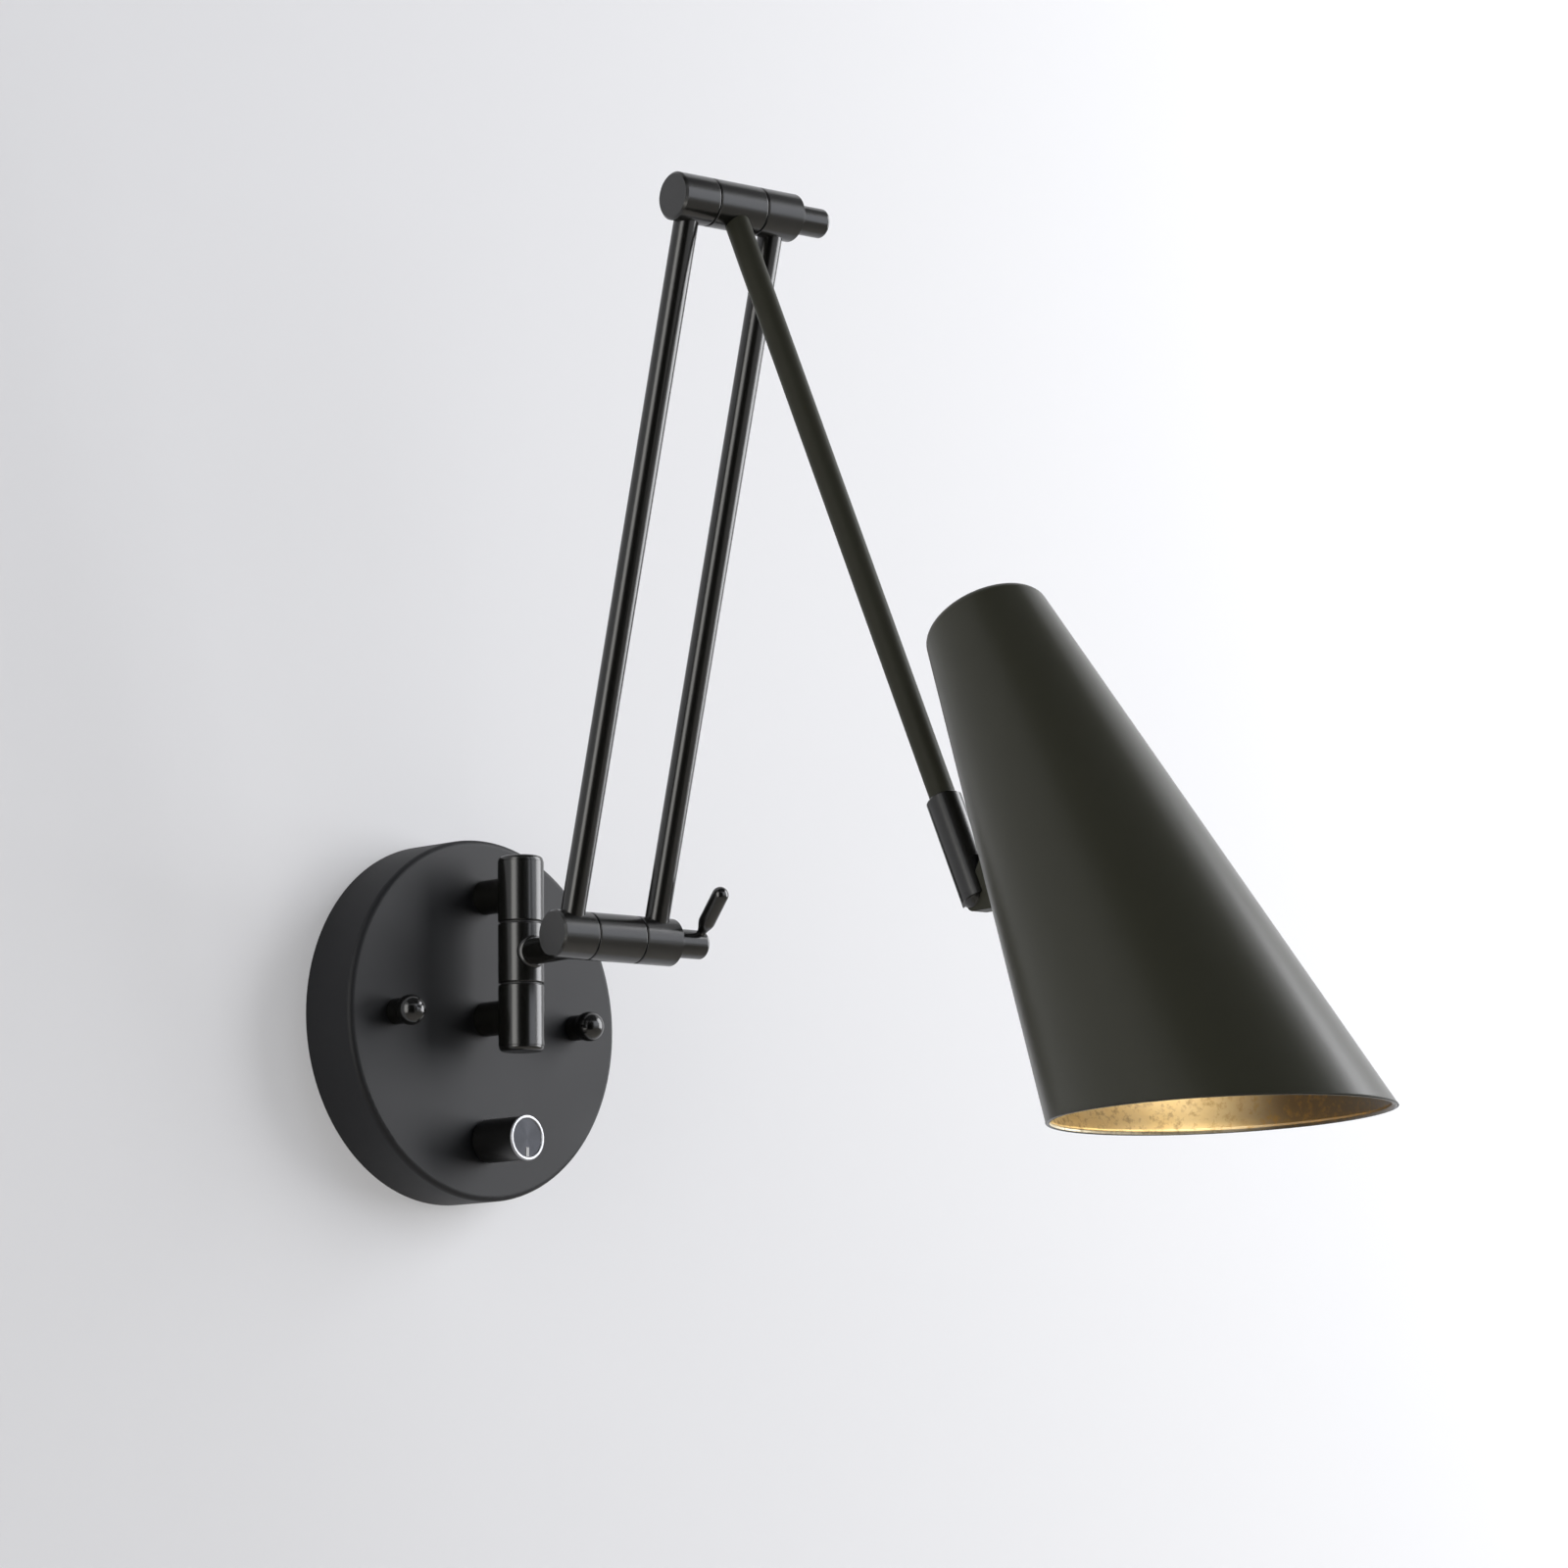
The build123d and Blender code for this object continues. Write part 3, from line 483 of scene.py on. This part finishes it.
def buildSpigotRoot():
    # Round the spigot's axis the barrel's surface lies sqrt(R^2 - (r * cos(angle))^2) in front of the hinge.
    # The shoulder is a quarter round between r + width on the barrel and width above it on the spigot.
    hinge = jointPlace("wall_swivel")
    angle = np.arange(spigotRoot["rings"]) * fullTurn / spigotRoot["rings"]
    turn = np.linspace(0, math.pi / 2, spigotRoot["arcSteps"] + 1)[:, None]
    width, inner = spigotRoot["width"], spigotRoot["spigotRadius"]
    radius = inner + width * np.cos(turn)
    lift = width * np.sin(turn)
    radius = np.concatenate([radius, [[inner - spigotRoot["depth"]], [inner - spigotRoot["depth"]],
                                      [inner + width]]])
    lift = np.concatenate([lift, [[width], [-spigotRoot["depth"]], [-spigotRoot["depth"]]]])
    surface = np.sqrt(spigotRoot["barrelRadius"] ** 2 - (radius * np.cos(angle)) ** 2)
    points = np.stack([radius * np.cos(angle), radius * np.sin(angle), surface + lift], axis=2)
    piece = addSurface("spigotShoulder", placed(points, axes(hinge, -wallWard, elbowAxis)), closedRows=True)
    dress(outward(piece), "swing_bracket", [armEnamel])


# Dimmer knob: a turned body with a spun face, and a bright ring with rounded edges pressed on its front.
knob = {
    "radius": 7.2, "back": 22.3, "front": 40.5, "face": 41.0, "faceRadius": 6.26, "backEdge": 0.5,
    "cavityRadius": 6.2, "cavityEnd": 27.7, "boreRadius": 2.04, "boreEnd": 34.7,
    "ringRadius": 7.5, "ringBore": 6.3, "ringBack": 40.5, "ringFront": 41.3, "ringEdge": 0.4,
    "ringBackEdge": 0.2, "ringSteps": 8, "rings": 128,
}


def buildKnob():
    # The body's profile runs from the face's middle round its outside into the hollow back. The ring's
    # profile is closed.
    dial = jointPlace("dimmer_turn")
    origin = np.array([dial[0], 0.0, dial[2]])
    place = axes(origin, np.array([0.0, -1.0, 0.0]), np.array([1.0, 0, 0]))
    body = profileOf([(0, knob["face"]), (knob["faceRadius"], knob["face"]),
                      (knob["faceRadius"], knob["front"]), (knob["radius"], knob["front"]),
                      (knob["radius"], knob["back"], knob["backEdge"]),
                      (knob["cavityRadius"], knob["back"]), (knob["cavityRadius"], knob["cavityEnd"]),
                      (knob["boreRadius"], knob["cavityEnd"]), (knob["boreRadius"], knob["boreEnd"]),
                      (0, knob["boreEnd"])])
    piece = addSurface("knobBody", placed(turned(body, knob["rings"]), place))
    index = np.zeros(len(piece.data.polygons), np.int32)
    index[:knob["rings"]] = 1  # the front face's triangles come first
    piece.data.polygons.foreach_set("material_index", index)
    creaseEdges(piece)
    dress(outward(piece), "dimmer_dial", [knobCoat, spunFace], ["knob_body"])
    middle = (knob["ringRadius"] + knob["ringBore"]) / 2
    ring = profileOf([(middle, knob["ringBack"]),
                      (knob["ringRadius"], knob["ringBack"], knob["ringBackEdge"]),
                      (knob["ringRadius"], knob["ringFront"], knob["ringEdge"]),
                      (knob["ringBore"], knob["ringFront"], knob["ringEdge"]),
                      (knob["ringBore"], knob["ringBack"], knob["ringBackEdge"]),
                      (middle, knob["ringBack"])], arcSteps=knob["ringSteps"])[:-1]
    piece = addSurface("knobRing", placed(turned(ring, knob["rings"]), place), closedRows=True)
    dress(outward(piece), "dimmer_dial", [satinSteel], ["knob_ring"])


# Clamp lever: a turned club that swells from a thin neck and ends in half a ball.
lever = {"place": 33.9, "lean": 26.3, "start": 2.6, "neck": 1.5, "neckEnd": 4.9, "swellEnd": 9.6,
         "radius": 2.75, "ballPlace": 20.1, "rings": 64, "swellSteps": 16, "ballSteps": 12}


def buildLever():
    # Radius = neck + (end - neck) * (3t^2 - 2t^3) along the swell, then constant, then the ball's
    # sqrt(radius^2 - height^2).
    elbow = jointPlace("lower_elbow")
    rodWay = jointPlace("upper_elbow") - elbow
    rodWay = rodWay / np.linalg.norm(rodWay)
    lean = math.radians(lever["lean"])
    along = rodWay * math.cos(lean) - np.cross(rodWay, elbowAxis) * math.sin(lean)
    share = np.linspace(0, 1, lever["swellSteps"] + 1)
    swell = lever["neck"] + (lever["radius"] - lever["neck"]) * (3 * share ** 2 - 2 * share ** 3)
    height = lever["neckEnd"] + (lever["swellEnd"] - lever["neckEnd"]) * share
    turn = np.linspace(0, math.pi / 2, lever["ballSteps"] + 1)[:, None]
    ball = lever["radius"] * np.concatenate([np.cos(turn), np.sin(turn)], axis=1) + [0, lever["ballPlace"]]
    profile = np.concatenate([
        [[0, lever["start"]], [lever["neck"], lever["start"]]], np.stack([swell, height], axis=1),
        [[lever["radius"], (lever["swellEnd"] + lever["ballPlace"]) / 2]], ball])
    profile[-1, 0] = 0
    origin = elbow + elbowAxis * lever["place"] * mm
    piece = addSurface("leverHandle", placed(turned(profile, lever["rings"]), axes(origin, along, elbowAxis)))
    dress(outward(piece), "clamp_handle", [hardwareEnamel], ["clamp_lever"])


# Bulb: a blown globe whose shoulder runs into the neck in one curve.
bulb = {"neck": 7.5, "neckTop": -65.2, "radius": 22.5, "centre": -98.2, "leaving": 52, "globePull": 9.0,
        "neckPull": 7.0, "rings": 128, "globeSteps": 60, "neckSteps": 20}


def buildBulb():
    # The globe is an arc from its foot to the leaving angle; from there a cubic curve, whose ends follow the
    # globe and the neck, closes up to the cap.
    turn = np.radians(np.linspace(-90, bulb["leaving"], bulb["globeSteps"]))
    globe = np.stack([bulb["radius"] * np.cos(turn), bulb["centre"] + bulb["radius"] * np.sin(turn)], axis=1)
    globe[0, 0] = 0
    start, end = globe[-1], np.array([bulb["neck"], bulb["neckTop"]])
    along = np.array([-math.sin(turn[-1]), math.cos(turn[-1])])
    t = np.linspace(0, 1, bulb["neckSteps"])[1:, None]
    first, second = start + along * bulb["globePull"], end - np.array([0, bulb["neckPull"]])
    neck = (1 - t) ** 3 * start + 3 * (1 - t) ** 2 * t * first + 3 * (1 - t) * t ** 2 * second + t ** 3 * end
    profile = np.concatenate([globe, neck, [[0, bulb["neckTop"]]]])
    piece = addSurface("bulbGlobe", placed(turned(profile, bulb["rings"]), shadePlace()))
    dress(outward(piece), "shade", [opalWhite], ["bulb_glass"])


# Lampholder: a moulded candle holder with a smooth shoulder and a coarsely threaded skirt.
holder = {"radius": 13.5, "top": -25.2, "mouth": -63.2, "bore": 7.3, "boreEnd": -37.2, "skirtStart": -40.0,
          "ribPitch": 2.4, "ribDepth": 0.7, "edge": 1.5, "rimBevel": 0.6, "boreEdge": 0.5, "rings": 96,
          "ribSteps": 10}


def buildHolder():
    # Down the skirt the radius is R - depth * (1 - cos(2 * pi * height / pitch)) / 2.
    length = holder["skirtStart"] - holder["mouth"]
    count = int(length / holder["ribPitch"])
    drop = np.linspace(0, count * holder["ribPitch"], count * holder["ribSteps"] + 1)
    ribs = holder["radius"] - holder["ribDepth"] * (1 - np.cos(fullTurn * drop / holder["ribPitch"])) / 2
    shoulder = profileOf([(0, holder["top"]), (holder["radius"], holder["top"], holder["edge"]),
                          (holder["radius"], holder["skirtStart"])])
    profile = np.concatenate([
        shoulder[:-1], np.stack([ribs, holder["skirtStart"] - drop], axis=1),
        profileOf([(holder["radius"], holder["mouth"] + holder["rimBevel"]),
                   (holder["radius"] - holder["rimBevel"], holder["mouth"]),
                   (holder["bore"], holder["mouth"], holder["boreEdge"]),
                   (holder["bore"], holder["boreEnd"]), (0, holder["boreEnd"])])])
    piece = addSurface("candleHolder", placed(turned(profile, holder["rings"]), shadePlace()))
    creaseEdges(piece)
    dress(outward(piece), "shade", [blackThermoplastic], ["lampholder"])


buildHingeCaps()
buildSpigotRoot()
buildKnob()
buildLever()
buildBulb()
buildHolder()
print("hinge caps, spigot root, knob, lever, bulb and holder made")

# Stage: the wall that the lamp hangs on, a floor well below, and the room's pale air.
stage = {
    "wallReach": 6000, "wallHole": 54, "wallGap": 0.3, "wallRings": 24, "wallSpokes": 96,
    "floorDrop": 1400, "floorSize": 12000, "floorPastWall": 1, "wallColour": "#f4f4f6",
    "wallPaintedShade": "#c4c4c7", "wallPale": "#ffffff", "wallPaintedShadeAt": -500, "paleAt": 900, "farAt": 1500,
    "floorColour": "#d9d4cb", "plainShare": 0.4, "farShare": 0.95, "airColour": "#f3f4f6", "airLevel": 0.35,
}


def seenPlainly(tree):
    # 1 for rays from the camera and for those sent on by mirrors and glass, and 0 for the light's own rays.
    ray = addNode(tree, "ShaderNodeLightPath")
    seen = ray.outputs["Is Camera Ray"]
    for kind in ("Is Glossy Ray", "Is Transmission Ray"):
        seen = addNode(tree, "ShaderNodeMath", {"operation": "ADD", "use_clamp": True},
                       {0: seen, 1: ray.outputs[kind]}).outputs[0]
    return ray, seen


def stageFinish(name, colour, tones=None):
    # Matt pale paint that keeps the object's shadow. Part of what the camera and reflections see is its own
    # colour unlit, so that it stays pale, and its back is clear, so that the lamp is seen from behind. With
    # two tones the unlit colour is painted shade, darker on the left and paling evenly to the right where the
    # lights fall on the wall, and past the lights it is nearly all unlit.
    material = bpy.data.materials.new(name)
    material.use_nodes = True
    tree = material.node_tree
    tree.nodes.clear()
    paint = addNode(tree, "ShaderNodeBsdfDiffuse", {"Color": linear(colour)})
    plain = addNode(tree, "ShaderNodeEmission", {"Color": linear(colour), "Strength": 1.0})
    ray, seen = seenPlainly(tree)
    share = addNode(tree, "ShaderNodeMath", {"operation": "MULTIPLY", 1: stage["plainShare"]}, {0: seen})
    # Painted shade: the wall's unlit colour runs from the darker tone at the left to the pale one at the
    # right.
    if tones:
        place = addNode(tree, "ShaderNodeTexCoord").outputs["Object"]
        spot = addNode(tree, "ShaderNodeSeparateXYZ", links={0: place})
        across = addNode(tree, "ShaderNodeMapRange",
                         {"From Min": stage["wallPaintedShadeAt"] * mm, "From Max": stage["paleAt"] * mm},
                         {"Value": spot.outputs["X"]})
        tone = addNode(tree, "ShaderNodeMix", {"data_type": "RGBA", 6: linear(tones[0]), 7: linear(tones[1])},
                       {0: across.outputs["Result"]})
        tree.links.new(tone.outputs[2], plain.inputs["Color"])
        far = addNode(tree, "ShaderNodeMapRange",
                      {"From Min": stage["paleAt"] * mm, "From Max": stage["farAt"] * mm,
                       "To Min": stage["plainShare"], "To Max": stage["farShare"]},
                      {"Value": spot.outputs["X"]})
        tree.links.new(far.outputs["Result"], share.inputs[1])
    front = addNode(tree, "ShaderNodeMixShader",
                    links={0: share.outputs[0], 1: paint.outputs[0], 2: plain.outputs[0]})
    back = addNode(tree, "ShaderNodeNewGeometry").outputs["Backfacing"]
    clear = addNode(tree, "ShaderNodeMath", {"operation": "MULTIPLY"},
                    {0: back, 1: ray.outputs["Is Camera Ray"]})
    glass = addNode(tree, "ShaderNodeBsdfTransparent")
    both = addNode(tree, "ShaderNodeMixShader",
                   links={0: clear.outputs[0], 1: front.outputs[0], 2: glass.outputs[0]})
    addNode(tree, "ShaderNodeOutputMaterial", links={"Surface": both.outputs[0]})
    return material


def buildWall():
    # Rings about the lamp's middle, from a hole that the canopy covers out to the wall's reach.
    radius = np.geomspace(stage["wallHole"], stage["wallReach"], stage["wallRings"])[:, None]
    angle = np.arange(stage["wallSpokes"]) * fullTurn / stage["wallSpokes"]
    across = radius * np.cos(angle)
    points = np.stack([across, np.full_like(across, stage["wallGap"]), radius * np.sin(angle)], axis=2)
    wall = addSurface("paleWall", points * mm, flip=True)
    wall.data.materials.append(stageFinish("mattWallPaintPaintedShade", stage["wallColour"],
                                           (stage["wallPaintedShade"], stage["wallPale"])))


def buildFloor():
    half = stage["floorSize"] * mm / 2
    drop = -stage["floorDrop"] * mm
    past = stage["floorPastWall"] * mm
    mesh = bpy.data.meshes.new("paleFloor")
    mesh.from_pydata([(-half, -half, drop), (half, -half, drop), (half, past, drop), (-half, past, drop)], [],
                     [(0, 1, 2, 3)])
    floor = bpy.data.objects.new("paleFloor", mesh)
    bpy.context.scene.collection.objects.link(floor)
    mesh.materials.append(stageFinish("mattFloorPaint", stage["floorColour"]))


def buildAir():
    world = bpy.data.worlds.new("studioAir")
    world.use_nodes = True
    tree = world.node_tree
    tree.nodes.clear()
    air = linear(stage["airColour"])
    seen = seenPlainly(tree)[1]
    dim = addNode(tree, "ShaderNodeBackground", {"Color": air, "Strength": stage["airLevel"]})
    plain = addNode(tree, "ShaderNodeBackground", {"Color": air, "Strength": 1.0})
    both = addNode(tree, "ShaderNodeMixShader", links={0: seen, 1: dim.outputs[0], 2: plain.outputs[0]})
    addNode(tree, "ShaderNodeOutputWorld", links={"Surface": both.outputs[0]})
    bpy.context.scene.world = world


buildWall()
buildFloor()
buildAir()

# Soft lights: each panel has a place, a width and height, and a radiance, and faces the lamp.
lampMiddle = (0, -200, 90)
panels = {
    "keyPanel": {"place": (1350, -920, 480), "size": (1000, 1500), "radiance": 6.2, "colour": "#fbfcff"},
    "fillPanel": {"place": (430, -1700, 560), "size": (1150, 1100), "radiance": 1.3, "colour": "#eef3ff"},
    "leftPanel": {"place": (-1420, -320, 100), "size": (600, 1500), "radiance": 3.0, "colour": "#fffdf8"},
    "backPanel": {"place": (-300, 900, 300), "size": (600, 600), "radiance": 2.0, "colour": "#ffffff"},
}


def facingLamp(place):
    # Stands at the place, in millimetres, with its -Z toward the lamp, which is the way a light shines.
    turn = (Vector(place) - Vector(lampMiddle)).to_track_quat("Z", "Y").to_matrix().to_4x4()
    return Matrix.Translation(Vector(place) * mm) @ turn


def buildPanels():
    # A panel's power is its radiance * pi * its area.
    for name, panel in panels.items():
        light = bpy.data.lights.new(name, "AREA")
        light.shape = "RECTANGLE"
        light.size = panel["size"][0] * mm
        light.size_y = panel["size"][1] * mm
        light.color = linear(panel["colour"])[:3]
        light.energy = panel["radiance"] * math.pi * light.size * light.size_y
        lit = bpy.data.objects.new(name, light)
        lit.visible_camera = False
        bpy.context.scene.collection.objects.link(lit)
        lit.matrix_world = facingLamp(panel["place"])


# Grey cards behind the camera and overhead, which keep the paint's reflections dark there.
cards = {
    "frontCard": {"place": (-1500, -2100, 0), "size": (2200, 3000), "colour": "#202022"},
    "ceilingCard": {"place": (-200, -900, 2000), "size": (3200, 2400), "colour": "#77777a"},
}


def buildCards():
    for name, card in cards.items():
        halfWide, halfHigh = (side * mm / 2 for side in card["size"])
        mesh = bpy.data.meshes.new(name)
        mesh.from_pydata([(-halfWide, -halfHigh, 0), (halfWide, -halfHigh, 0), (halfWide, halfHigh, 0),
                          (-halfWide, halfHigh, 0)], [], [(0, 1, 2, 3)])
        board = bpy.data.objects.new(name, mesh)
        bpy.context.scene.collection.objects.link(board)
        board.matrix_world = facingLamp(card["place"])
        board.visible_camera = False
        board.visible_shadow = False
        material = bpy.data.materials.new("mattGreyCard")
        material.use_nodes = True
        material.node_tree.nodes.clear()
        paint = addNode(material.node_tree, "ShaderNodeBsdfDiffuse", {"Color": linear(card["colour"])})
        addNode(material.node_tree, "ShaderNodeOutputMaterial", links={"Surface": paint.outputs[0]})
        mesh.materials.append(material)


buildPanels()
buildCards()
print("stage, panels and cards made")

# Camera: worked out from the canopy's two circles and the lamp's edges in the photograph.
camera = {"place": (-1132.455, -1220.508, -176.950), "forward": (0.72074758, 0.67612848, 0.15288298),
          "up": (-0.10246348, -0.11421242, 0.98815827), "lens": 114.77, "sensor": 36.0,
          "nearest": 50, "farthest": 50000}


def buildCamera():
    data = bpy.data.cameras.new("photographCamera")
    data.lens = camera["lens"]
    data.sensor_width = camera["sensor"]
    data.clip_start = camera["nearest"] * mm
    data.clip_end = camera["farthest"] * mm
    viewer = bpy.data.objects.new("photographCamera", data)
    bpy.context.scene.collection.objects.link(viewer)
    forward = Vector(camera["forward"]).normalized()
    upward = Vector(camera["up"]).normalized()
    right = forward.cross(upward).normalized()
    turn = Matrix([right, right.cross(forward), -forward]).transposed().to_4x4()
    viewer.matrix_world = Matrix.Translation(Vector(camera["place"]) * mm) @ turn
    bpy.context.scene.camera = viewer


buildCamera()
bpy.context.scene.view_settings.view_transform = "Standard"
print("camera made")
